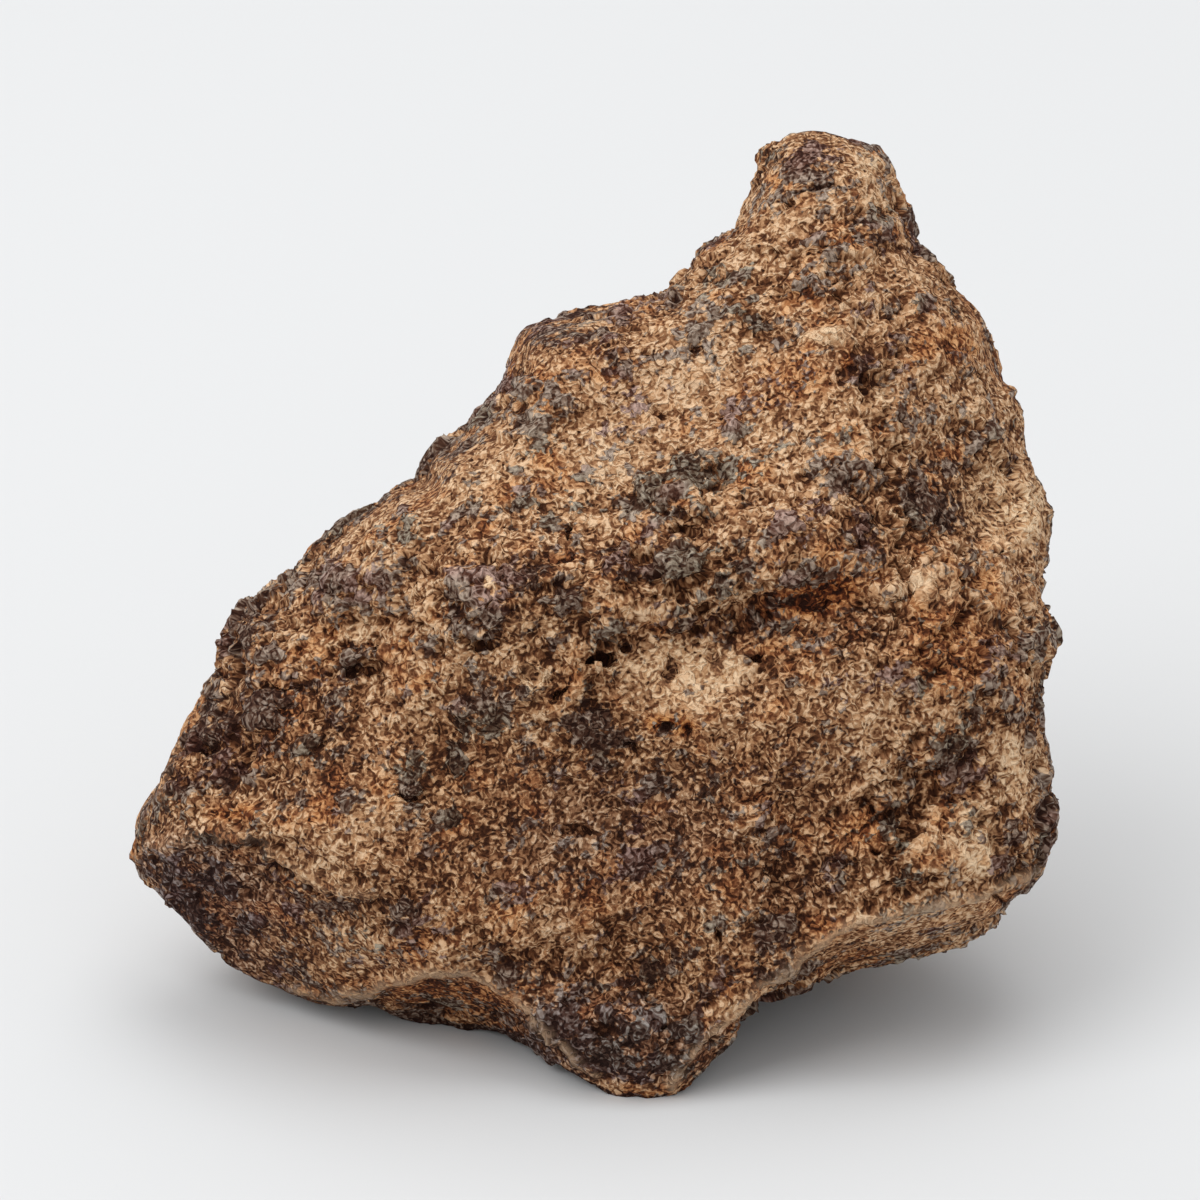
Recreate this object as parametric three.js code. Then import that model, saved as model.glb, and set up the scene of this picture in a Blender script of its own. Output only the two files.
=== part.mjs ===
// A weathered ordinary chondrite: one broken, fin-shaped stone, about 42 mm across its broad face,
// that rests on a few small flat spots with the broad face leaning back.
//
// Millimetres, +Z up. The origin is on the surface that the stone rests on, under the middle of
// its bounding box, and the broad face looks along -Y.
//
// The stone is shaped in the frame of its broad face: x to the right, y up the face, z out of it.
// A fine ball is drawn over the stone's form, with its equator on the rim, the closed line where
// the front of the stone turns into its back. Inside the rim the front is the lowest of its broken
// faces, the back is the highest of its own, and both are then chipped, raised by swells, and
// roughened.

import * as THREE from "three";
import { ImprovedNoise } from "three/addons/math/ImprovedNoise.js";
import { mergeVertices } from "three/addons/utils/BufferGeometryUtils.js";

// ---- Driving dimensions -------------------------------------------------------------------

const LEAN_DEG = 27; // how far the broad face leans back from upright
const BALL_DETAIL = 19; // each edge of the starting icosahedron is split in 20: 8,000 triangles
const BALL_MIDDLE = [4, -2]; // on the broad face: from here every point of the rim is in sight
const CREASE = 0.45; // rounding where two broken faces meet
const UNDERSIDE_CREASE = 0.35; // the same where the front turns under
const BACK_EDGE_REACH = 5; // how far in from the rim the blunt back edge is rounded
const BACK_SHRINK_DEPTH = 1.4; // the rim's small bumps are gone this far behind it
const SMOOTH_RIM_SHARE = 0.045; // share of the rim that is averaged to find it without its bumps
const BED_LEVEL = -16.25; // height of the resting surface, measured from the face frame's origin
const BED_GAP = 1.1; // how far the underside stays above the resting surface between its feet
const BED_GAP_REACH = 3; // how far in from the rim the underside takes to rise by that gap

const COARSE_LUMP = { size: 6.5, height: 0.42 };
const FINE_LUMP = { size: 2.6, height: 0.2 };
const CALM_RIM_SHARE = 0.35; // share of the roughness left right at the rim

// ---- The rim, point by point: across, up, out ------------------------------------------------

const tip = [
  [4.7, 19.9, -4.1],
  [5.1, 21.3, -3.9],
  [5.6, 22.0, -3.8],
  [6.5, 22.4, -3.8],
  [7.8, 22.3, -3.8],
  [9.3, 21.9, -3.8],
  [10.1, 21.2, -3.9],
  [10.6, 20.1, -4.0],
  [11.2, 19.1, -4.0],
];
const rightEdge = [
  [11.4, 18.0, -4.1],
  [11.7, 17.1, -4.1],
  [12.8, 16.2, -4.0],
  [13.2, 15.4, -3.9],
  [14.3, 14.2, -3.6],
  [14.8, 13.0, -3.4],
  [15.3, 11.3, -3.0],
  [15.8, 11.0, -3.0],
  [16.4, 9.7, -2.6],
  [16.3, 8.6, -2.4],
  [17.0, 7.0, -2.2],
  [17.6, 5.7, -2.0],
  [17.4, 4.1, -1.8],
  [17.0, 1.7, -1.6],
  [17.5, 0.5, -1.5],
  [17.8, -0.4, -1.5],
  [17.3, -1.5, -1.5],
  [17.0, -3.3, -1.5],
  [17.3, -5.9, -1.6],
  [17.6, -7.5, -1.8],
  [17.4, -8.8, -2.0],
  [16.8, -10.2, -2.2],
];
const lowerRightEdge = [
  [16.1, -10.8, -2.2],
  [15.3, -11.9, -1.8],
  [13.8, -13.2, -1.2],
  [12.4, -13.7, -0.7],
  [11.1, -13.8, -0.3],
  [9.6, -14.0, 0.2],
  [8.0, -14.4, 0.8],
  [6.9, -14.9, 1.3],
  [5.9, -15.6, 1.8],
  [4.4, -16.6, 2.1],
  [3.4, -17.4, 2.3],
  [2.4, -18.4, 2.5],
];
const toeEdge = [
  [1.3, -19.6, 2.8],
  [-0.4, -19.8, 2.8],
  [-2.3, -19.3, 2.6],
  [-4.0, -18.5, 1.8],
  [-5.3, -17.3, 0.0],
];
const footEdge = [
  [-6.5, -16.9, -1.4],
  [-8.3, -16.7, -2.2],
  [-9.8, -16.7, -2.6],
  [-11.4, -16.4, -2.8],
  [-12.1, -15.8, -3.0],
  [-13.7, -15.8, -3.2],
  [-16.0, -15.3, -3.4],
  [-17.6, -14.7, -3.6],
  [-19.3, -13.1, -3.4],
  [-21.3, -11.3, -3.2],
  [-22.0, -10.6, -3.2],
];
const leftEdge = [
  [-22.4, -9.1, -3.0],
  [-22.4, -7.6, -3.0],
  [-21.7, -6.5, -3.0],
  [-20.5, -4.5, -3.2],
  [-19.7, -3.0, -3.4],
  [-19.0, -2.2, -3.6],
  [-18.7, -0.7, -3.8],
  [-18.5, 0.5, -4.0],
  [-17.4, 2.0, -4.2],
  [-15.5, 2.8, -4.4],
  [-15.0, 3.6, -4.4],
  [-13.5, 5.0, -4.4],
  [-12.0, 5.7, -4.4],
  [-10.9, 6.7, -4.4],
  [-9.9, 6.8, -4.4],
  [-9.7, 7.8, -4.4],
  [-8.7, 8.6, -4.4],
  [-7.5, 9.6, -4.4],
];
const saddleEdge = [
  [-7.0, 10.2, -4.4],
  [-6.3, 11.4, -4.4],
  [-5.9, 12.8, -4.4],
  [-5.6, 13.6, -4.4],
  [-3.8, 14.2, -4.4],
  [-1.3, 14.6, -4.5],
  [0.0, 15.0, -4.6],
  [1.3, 16.1, -4.6],
  [2.7, 17.4, -4.5],
  [3.8, 18.0, -4.4],
  [4.1, 18.9, -4.3],
];
const RIM_STEPS = 720;

// How far in from the rim the front edge is rounded: blunt on the left, worn sharp on the right.
const frontEdges = [
  { at: [7.7, 21.5], reach: 3.2 },
  { at: [-3, 14.5], reach: 2.6 },
  { at: [-16, 3], reach: 2.6 },
  { at: [-22, -9], reach: 2.4 },
  { at: [-15, -15.5], reach: 1.8 },
  { at: [-0.5, -19.4], reach: 2.4 },
  { at: [8, -14.4], reach: 0.9 },
  { at: [17, -8], reach: 1.4 },
  { at: [17.4, 2], reach: 1.6 },
  { at: [13.5, 15], reach: 2.0 },
];

// ---- Broken faces: each is a plane through a point, with a slope across and a slope up ---------

const frontFaces = [
  { name: "upper", at: [0, 1.7], out: 7.6, slope: [0.04, -0.47] },
  { name: "lower", at: [0, 1.7], out: 7.6, slope: [0.0, 0.2] },
  { name: "upper right", at: [12.2, 8.3], out: 3.0, slope: [-0.62, -0.38] },
  { name: "lower right", at: [13, -4.8], out: 5.2, slope: [-0.42, 0.12] },
  { name: "left shoulder", at: [-16, -1], out: 3.0, slope: [0.55, -0.15] },
  { name: "left foot", at: [-17, -11.3], out: 1.0, slope: [0.7, 1.05] },
];
const undersideFaces = [
  { name: "beside the toe", at: [3.9, -17.0], out: 2.4, slope: [-1.46, 1.65] },
  { name: "under the right", at: [9.6, -14.0], out: 0.3, slope: [-0.6, 2.5] },
];
const backFaces = [
  { name: "broad", at: [0, -2], out: -13.5, slope: [0.04, 0.22] },
  { name: "upper", at: [4, 12], out: -8.6, slope: [0.05, 0.32] },
  { name: "right", at: [11, 0], out: -10.8, slope: [0.85, 0.1] },
  { name: "left", at: [-13, -3], out: -10.4, slope: [-0.72, 0.12] },
  { name: "upper left", at: [-8, 8], out: -9.6, slope: [-0.5, 0.55] },
  { name: "lower right", at: [12, -9], out: -9.2, slope: [0.8, -0.35] },
];

// ---- Scoops and lumps: where, how far they reach across and up, how they are turned -------------
// A scoop has a crisp edge, like a chip. A swell is smooth. Negative heights press in.

const frontChips = [
  { name: "foot notch", at: [-8.4, -17.2], reach: [3.6, 3.1], turn: -12, height: -3.0 },
  { name: "left recess", at: [-18.4, -5.0], reach: [2.2, 2.6], turn: 20, height: -0.9 },
  { name: "right break", at: [15.6, 5.4], reach: [2.8, 3.2], turn: -35, height: -0.9 },
  { name: "upper right recess", at: [12.6, 7.2], reach: [2.6, 2.5], turn: 10, height: -0.6 },
];
const frontSwells = [
  { name: "shelf under the brow", at: [1.8, 0.2], reach: [3.6, 1.7], turn: -4, height: -1.2 },
  { name: "lip of the shelf", at: [2.0, -3.4], reach: [3.2, 2.0], turn: -4, height: 0.6 },
  { name: "hollow by the brow", at: [7.4, 1.4], reach: [3.0, 1.7], turn: 12, height: -1.5 },
  { name: "left eye", at: [-12.3, 0.2], reach: [1.7, 1.4], turn: 0, height: -0.9 },
  { name: "long hollow", at: [-0.9, -9.2], reach: [2.6, 5.2], turn: 4, height: -1.1 },
  { name: "right hollow", at: [6.4, -9.6], reach: [2.0, 4.2], turn: -12, height: -0.8 },
  { name: "rib between the hollows", at: [3.2, -10.6], reach: [1.8, 4.6], turn: -4, height: 0.5 },
  { name: "toe lump", at: [-1.5, -17.6], reach: [3.6, 1.7], turn: -4, height: 1.1 },
  { name: "neck of the toe", at: [-1.0, -14.6], reach: [4.6, 1.6], turn: 0, height: -0.6 },
  { name: "brow left", at: [-8.0, 2.1], reach: [4.6, 1.6], turn: -12, height: 0.8 },
  { name: "brow middle", at: [-1.0, 2.4], reach: [3.2, 1.6], turn: -4, height: 0.5 },
  { name: "brow right", at: [5.2, 4.2], reach: [3.2, 1.7], turn: -14, height: 0.6 },
  { name: "upper left dish", at: [-2.0, 8.2], reach: [5.4, 3.2], turn: 24, height: -0.8 },
  { name: "upper ridge", at: [7.6, 11.4], reach: [2.0, 6.0], turn: -10, height: 0.6 },
  { name: "left cheek", at: [-13.4, -6.6], reach: [3.4, 3.0], turn: 0, height: 0.7 },
  { name: "left hollow", at: [-10.0, -4.4], reach: [3.8, 2.8], turn: -20, height: -0.9 },
  { name: "lower left ridge", at: [-12.6, -9.8], reach: [4.6, 1.4], turn: -26, height: 0.6 },
  { name: "right pocket", at: [12.0, -6.2], reach: [2.6, 1.3], turn: 0, height: -0.7 },
  { name: "right cheek", at: [13.4, -2.6], reach: [2.6, 2.6], turn: 0, height: 0.7 },
  { name: "lower right swell", at: [12.6, -9.4], reach: [3.4, 1.8], turn: 14, height: 0.7 },
];
const backChips = [
  { name: "upper thumbprint", at: [5, 7], reach: [5.0, 3.8], turn: 30, height: 1.3 },
  { name: "left thumbprint", at: [-9, -1], reach: [4.6, 3.4], turn: -20, height: 1.4 },
  { name: "middle thumbprint", at: [2.5, -3.5], reach: [4.2, 3.2], turn: 15, height: 1.1 },
  { name: "right chip", at: [12.5, -4], reach: [2.8, 4.2], turn: 10, height: 1.0 },
  { name: "small chip", at: [-3.5, 6.5], reach: [2.2, 1.8], turn: 40, height: 0.8 },
];
const backSwells = [
  { name: "back rib", at: [-3, 1.5], reach: [2.4, 6.5], turn: 28, height: -0.9 },
  { name: "low shoulder", at: [8, -8], reach: [3.4, 2.4], turn: -20, height: -0.8 },
  { name: "left lump", at: [-14, 0], reach: [2.2, 2.8], turn: 0, height: -0.7 },
];
// Where the underside comes down to the resting surface: each foot is flat where it meets it.
const feet = [
  { name: "toe", at: [0.4, -18.2], reach: [3.0, 1.8], turn: 0, drop: 1.7 },
  { name: "side foot", at: [-10.6, -15.4], reach: [3.6, 2.0], turn: 0, drop: 1.7 },
  { name: "back left foot", at: [-7.4, -10.6], reach: [3.4, 2.2], turn: 0, drop: 1.8 },
  { name: "back right foot", at: [5.2, -11.6], reach: [3.6, 2.2], turn: 0, drop: 2.0 },
];

// ---- The form -------------------------------------------------------------------------------

const rough = new ImprovedNoise();
const radians = THREE.MathUtils.degToRad;
const { clamp, lerp } = THREE.MathUtils;
const FULL_TURN = 2 * Math.PI;

// The rim at even steps along its length, with the angle of each step round the ball's middle.
function rimSteps(points) {
  const line = new THREE.CatmullRomCurve3(
    points.map(([x, y, z]) => new THREE.Vector3(x, y, z)),
    true,
    "centripetal",
  );
  line.arcLengthDivisions = 4 * RIM_STEPS;
  const steps = line.getSpacedPoints(RIM_STEPS).slice(0, RIM_STEPS);
  return steps.map((p) => ({
    x: p.x,
    y: p.y,
    out: p.z,
    angle: Math.atan2(p.y - BALL_MIDDLE[1], p.x - BALL_MIDDLE[0]),
  }));
}

// The angle, reach and depth of the rim where a share of its length has been walked.
function rimAlong(steps, share) {
  const walked = (((share % 1) + 1) % 1) * steps.length;
  const before = steps[Math.floor(walked) % steps.length];
  const after = steps[(Math.floor(walked) + 1) % steps.length];
  const part = walked - Math.floor(walked);
  const x = lerp(before.x, after.x, part) - BALL_MIDDLE[0];
  const y = lerp(before.y, after.y, part) - BALL_MIDDLE[1];
  return {
    share,
    angle: Math.atan2(y, x),
    reach: Math.hypot(x, y),
    out: lerp(before.out, after.out, part),
  };
}

// The same, found by its angle, which meets the rim once.
function rimTowards(steps, angle) {
  const start = steps[0].angle;
  const turned = (other) => (((start - other) % FULL_TURN) + FULL_TURN) % FULL_TURN;
  const wanted = turned(angle);
  let low = 0;
  let high = steps.length;
  while (high - low > 1) {
    const middle = (low + high) >> 1;
    if (turned(steps[middle].angle) <= wanted) low = middle;
    else high = middle;
  }
  const from = turned(steps[low].angle);
  const to = high === steps.length ? FULL_TURN : turned(steps[high].angle);
  return rimAlong(steps, (low + (wanted - from) / (to - from)) / steps.length);
}

function distanceToRim(steps, x, y) {
  return steps.reduce((nearest, from, i) => {
    const to = steps[(i + 1) % steps.length];
    const dx = to.x - from.x;
    const dy = to.y - from.y;
    const part = clamp(((x - from.x) * dx + (y - from.y) * dy) / (dx * dx + dy * dy), 0, 1);
    return Math.min(nearest, Math.hypot(from.x + dx * part - x, from.y + dy * part - y));
  }, Infinity);
}

// The rim's reach with its bumps averaged away, but never past the rim itself.
function smoothReach(steps, rim) {
  const spread = Math.round((SMOOTH_RIM_SHARE * steps.length) / 2);
  let sum = 0;
  for (let i = -spread; i <= spread; i++) {
    sum += rimAlong(steps, rim.share + i / steps.length).reach;
  }
  return Math.min(rim.reach, sum / (2 * spread + 1));
}

function frontEdgeReach(x, y) {
  let reach = 0;
  let weights = 0;
  for (const edge of frontEdges) {
    const weight = 1 / (9 + (x - edge.at[0]) ** 2 + (y - edge.at[1]) ** 2) ** 2;
    reach += weight * edge.reach;
    weights += weight;
  }
  return reach / weights;
}

const faceHeight = (face, x, y) =>
  face.out + face.slope[0] * (x - face.at[0]) + face.slope[1] * (y - face.at[1]);

function softMin(heights, rounding) {
  const lowest = Math.min(...heights);
  const sum = heights.reduce((s, h) => s + Math.exp((lowest - h) / rounding), 0);
  return lowest - rounding * Math.log(sum);
}
const softMax = (heights, rounding) => -softMin(heights.map((h) => -h), rounding);

// The square of how far (x, y) is from a feature's middle, 1 at the end of its reach.
function spreadSquared(feature, x, y) {
  const turn = radians(feature.turn);
  const dx = x - feature.at[0];
  const dy = y - feature.at[1];
  const across = (dx * Math.cos(turn) + dy * Math.sin(turn)) / feature.reach[0];
  const up = (dy * Math.cos(turn) - dx * Math.sin(turn)) / feature.reach[1];
  return across * across + up * up;
}
const chipHeight = (chip, x, y) => chip.height * Math.max(0, 1 - spreadSquared(chip, x, y));
const swellHeight = (swell, x, y) => swell.height * Math.exp(-spreadSquared(swell, x, y));
const footDrop = (foot, x, y) => foot.drop * Math.exp(-spreadSquared(foot, x, y));
const total = (features, height, x, y) => features.reduce((s, f) => s + height(f, x, y), 0);

function frontHeight(x, y) {
  const underside = softMax(
    undersideFaces.map((face) => faceHeight(face, x, y)),
    CREASE,
  );
  const front = softMin(
    frontFaces.map((face) => faceHeight(face, x, y)),
    CREASE,
  );
  const broken = softMin([front, underside], UNDERSIDE_CREASE);
  return broken + total(frontSwells, swellHeight, x, y) + total(frontChips, chipHeight, x, y);
}

// The height of the resting surface over a point of the face frame, measured along z.
const LEAN = radians(LEAN_DEG);
const bedHeight = (y, level) => (level - y * Math.cos(LEAN)) / Math.sin(LEAN);

function backHeight(x, y, inwards) {
  const gap = BED_GAP * (1 - Math.exp(-((inwards / BED_GAP_REACH) ** 2)));
  const level = BED_LEVEL + gap - total(feet, footDrop, x, y);
  const heights = backFaces.map((face) => faceHeight(face, x, y));
  const broken = softMax([...heights, bedHeight(y, level)], CREASE);
  return broken + total(backSwells, swellHeight, x, y) + total(backChips, chipHeight, x, y);
}

// A quarter of an ellipse: 0 at the rim, 1 from `reach` inwards.
function edgeRounding(distanceIn, reach) {
  const short = clamp(1 - distanceIn / reach, 0, 1);
  return Math.sqrt(1 - short * short);
}

// At the poles a direction keeps its own angle. Towards the rim the angles are shared out by the
// length of the rim, so that the tip gets as many points as a side of the same length.
function stonePoint(direction, steps) {
  const angle = Math.atan2(direction.y, direction.x);
  const share = (steps[0].angle - angle) / FULL_TURN;
  const inFromRim = Math.min(1, Math.hypot(direction.x, direction.y));
  const spread = rimAlong(steps, share).angle - angle;
  const drift = spread - FULL_TURN * Math.round(spread / FULL_TURN);
  const rim = rimTowards(steps, angle + drift * inFromRim);
  const away = inFromRim * rim.reach;
  const x = BALL_MIDDLE[0] + away * Math.cos(rim.angle);
  const y = BALL_MIDDLE[1] + away * Math.sin(rim.angle);
  const inwards = inFromRim < 1 - 1e-6 ? distanceToRim(steps, x, y) : 0;
  if (direction.z >= 0) {
    const rise = frontHeight(x, y) - rim.out;
    return new THREE.Vector3(x, y, rim.out + rise * edgeRounding(inwards, frontEdgeReach(x, y)));
  }
  const drop = (backHeight(x, y, inwards) - rim.out) * edgeRounding(inwards, BACK_EDGE_REACH);
  const shrink = 1 - Math.exp(-Math.abs(drop) / BACK_SHRINK_DEPTH);
  const pulledIn = away * shrink * inFromRim * (1 - smoothReach(steps, rim) / rim.reach);
  return new THREE.Vector3(
    x - pulledIn * Math.cos(rim.angle),
    y - pulledIn * Math.sin(rim.angle),
    rim.out + drop,
  );
}

function lumpHeight(p, { size, height }) {
  return height * rough.noise(p.x / size + 11.3, p.y / size + 4.7, p.z / size + 7.9);
}

function stoneGeometry() {
  const steps = rimSteps([
    ...tip,
    ...rightEdge,
    ...lowerRightEdge,
    ...toeEdge,
    ...footEdge,
    ...leftEdge,
    ...saddleEdge,
  ]);
  const ball = new THREE.IcosahedronGeometry(1, BALL_DETAIL);
  ball.deleteAttribute("normal");
  ball.deleteAttribute("uv");
  const geometry = mergeVertices(ball, 1e-5);
  const place = geometry.attributes.position;
  const direction = new THREE.Vector3();
  const rimward = [];
  for (let i = 0; i < place.count; i++) {
    direction.fromBufferAttribute(place, i).normalize();
    rimward.push(Math.abs(direction.z));
    const p = stonePoint(direction, steps);
    place.setXYZ(i, p.x, p.y, p.z);
  }
  geometry.computeVertexNormals();

  const p = new THREE.Vector3();
  const normal = new THREE.Vector3();
  for (let i = 0; i < place.count; i++) {
    p.fromBufferAttribute(place, i);
    normal.fromBufferAttribute(geometry.attributes.normal, i);
    const calm = lerp(CALM_RIM_SHARE, 1, Math.min(1, rimward[i] * 2));
    p.addScaledVector(normal, calm * (lumpHeight(p, COARSE_LUMP) + lumpHeight(p, FINE_LUMP)));
    place.setXYZ(i, p.x, p.y, p.z);
  }
  return geometry;
}

// Leans the stone back, and flattens what would reach below the resting surface.
function setDown(geometry) {
  geometry.rotateX(Math.PI / 2 - LEAN);
  const place = geometry.attributes.position;
  for (let i = 0; i < place.count; i++) {
    place.setZ(i, Math.max(0, place.getZ(i) - BED_LEVEL));
  }
  geometry.computeBoundingBox();
  const middle = geometry.boundingBox.getCenter(new THREE.Vector3());
  geometry.translate(-middle.x, -middle.y, 0);
  geometry.computeVertexNormals();
  return geometry;
}

// ---- The stone, one solid --------------------------------------------------------------------

const weatheredStone = new THREE.MeshStandardMaterial({
  color: 0x8a6a48,
  roughness: 0.88,
  metalness: 0,
});

const stone = new THREE.Mesh(setDown(stoneGeometry()), weatheredStone);
stone.name = "stone";

const meteorite = new THREE.Group();
meteorite.add(stone);

export default meteorite;
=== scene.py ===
import math

import bpy
import numpy as np
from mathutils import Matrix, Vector, noise


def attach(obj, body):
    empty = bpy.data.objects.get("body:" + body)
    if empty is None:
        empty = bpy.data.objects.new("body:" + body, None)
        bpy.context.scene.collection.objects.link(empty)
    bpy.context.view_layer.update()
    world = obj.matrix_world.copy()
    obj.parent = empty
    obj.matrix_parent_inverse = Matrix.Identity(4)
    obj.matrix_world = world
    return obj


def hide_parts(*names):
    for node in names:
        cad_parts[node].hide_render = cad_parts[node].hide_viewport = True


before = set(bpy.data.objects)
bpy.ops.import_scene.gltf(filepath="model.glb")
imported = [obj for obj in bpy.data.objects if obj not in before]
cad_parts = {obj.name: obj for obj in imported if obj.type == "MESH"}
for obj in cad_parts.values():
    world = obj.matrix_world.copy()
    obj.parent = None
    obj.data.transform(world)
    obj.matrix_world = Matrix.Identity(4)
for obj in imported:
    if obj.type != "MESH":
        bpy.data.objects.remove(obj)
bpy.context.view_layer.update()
scene = bpy.context.scene

# ---- The stone -------------------------------------------------------------------------------
# One broken ordinary chondrite: a dense stone whose weathered skin is dark, faintly glossy crust
# standing proud of tan and rusty dust. It is shaped by breaking, by rust, and by handling.

MM = 0.001
SKIN_CELL = 0.13 * MM
MOST_TRIANGLES = 194000

# The body is the solid's own shape with its facets rounded off, in even cells that carry the relief.
bpy.ops.object.select_all(action="DESELECT")
stone = bpy.data.objects.new("weathered_stone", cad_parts["stone"].data.copy())
scene.collection.objects.link(stone)
bpy.context.view_layer.objects.active = stone
stone.select_set(True)
bpy.ops.object.mode_set(mode="EDIT")
bpy.ops.mesh.select_all(action="SELECT")
bpy.ops.mesh.remove_doubles(threshold=0.001 * MM)
bpy.ops.object.mode_set(mode="OBJECT")
rounded = stone.modifiers.new("rounded", "SUBSURF")
rounded.levels = rounded.render_levels = 2
bpy.ops.object.modifier_apply(modifier="rounded")
even = stone.modifiers.new("even cells", "REMESH")
even.mode = "VOXEL"
even.voxel_size = SKIN_CELL
bpy.ops.object.modifier_apply(modifier="even cells")

# The broad face leans back from upright. What lies on it is placed in millimetres, across it and up
# it from its middle, with turns in degrees. The seed fixes every random shape.
LEAN = math.radians(27)
FACE_MIDDLE = np.array((0.002329, -0.000807, 0.01625))
noise.seed_set(7)


def points_of(mesh):
    flat = np.empty(len(mesh.vertices) * 3, np.float32)
    mesh.vertices.foreach_get("co", flat)
    return flat.reshape(-1, 3).astype(float)


def normals_of(mesh):
    flat = np.empty(len(mesh.vertices) * 3, np.float32)
    mesh.vertex_normals.foreach_get("vector", flat)
    return flat.reshape(-1, 3).astype(float)


def face_frame(points):
    """Across, up and out of the broad face."""
    x, y, z = points.T
    s, c = math.sin(LEAN), math.cos(LEAN)
    return x, y * s + z * c, z * s - y * c


def smooth_step(low, high, value):
    t = np.clip((value - low) / (high - low), 0, 1)
    return t * t * (3 - 2 * t)


def wander(size, start):
    """A smooth random vector at each point, about -1 to 1, that changes over `size` millimetres."""
    scaled = places / MM / size + start
    return np.array([noise.noise_vector(p) for p in scaled])


mesh = stone.data
places = points_of(mesh)
normals = normals_of(mesh)
across, up = face_frame((places - FACE_MIDDLE) / MM)[:2]
# Outward is 1 where the skin looks the way the broad face does and -1 at the back. The rim is between.
outward = face_frame(normals)[2]
facing = smooth_step(-0.05, 0.3, outward)
far_side = 1 - facing
rim = smooth_step(0.5, 0.08, outward) * smooth_step(-0.75, -0.2, outward)
# Placed shapes get ragged outlines, because they are laid out on places that wander a little.
ragged = 0.24 * wander(0.5, 3.1) + 0.45 * wander(1.6, 9.4)
ragged_across, ragged_up = across + ragged[:, 0], up + ragged[:, 1]


def nearness(shape):
    """How far each point is from a placed shape's middle, with 1 at the shape's edge."""
    middle_across, middle_up, reach_across, reach_up, turn = shape
    turn = math.radians(turn)
    da, du = ragged_across - middle_across, ragged_up - middle_up
    return np.hypot(
        (da * math.cos(turn) + du * math.sin(turn)) / reach_across,
        (du * math.cos(turn) - da * math.sin(turn)) / reach_up,
    )


def line_distance(points, a, u):
    """The distance of each place across and up from a line through some points."""
    best = np.full(len(a), np.inf)
    for (a0, u0), (a1, u1) in zip(points, points[1:]):
        da, du = a1 - a0, u1 - u0
        t = np.clip(((a - a0) * da + (u - u0) * du) / (da * da + du * du), 0, 1)
        best = np.minimum(best, np.hypot(a - a0 - t * da, u - u0 - t * du))
    return best


def patches(rows, shown):
    """The strength of the strongest patch at each point, on the part of the skin that is shown."""
    value = np.zeros(len(places))
    for *shape, strength in rows:
        value = np.maximum(value, strength * smooth_step(1.35, 0.55, nearness(shape)))
    return value * shown


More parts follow.
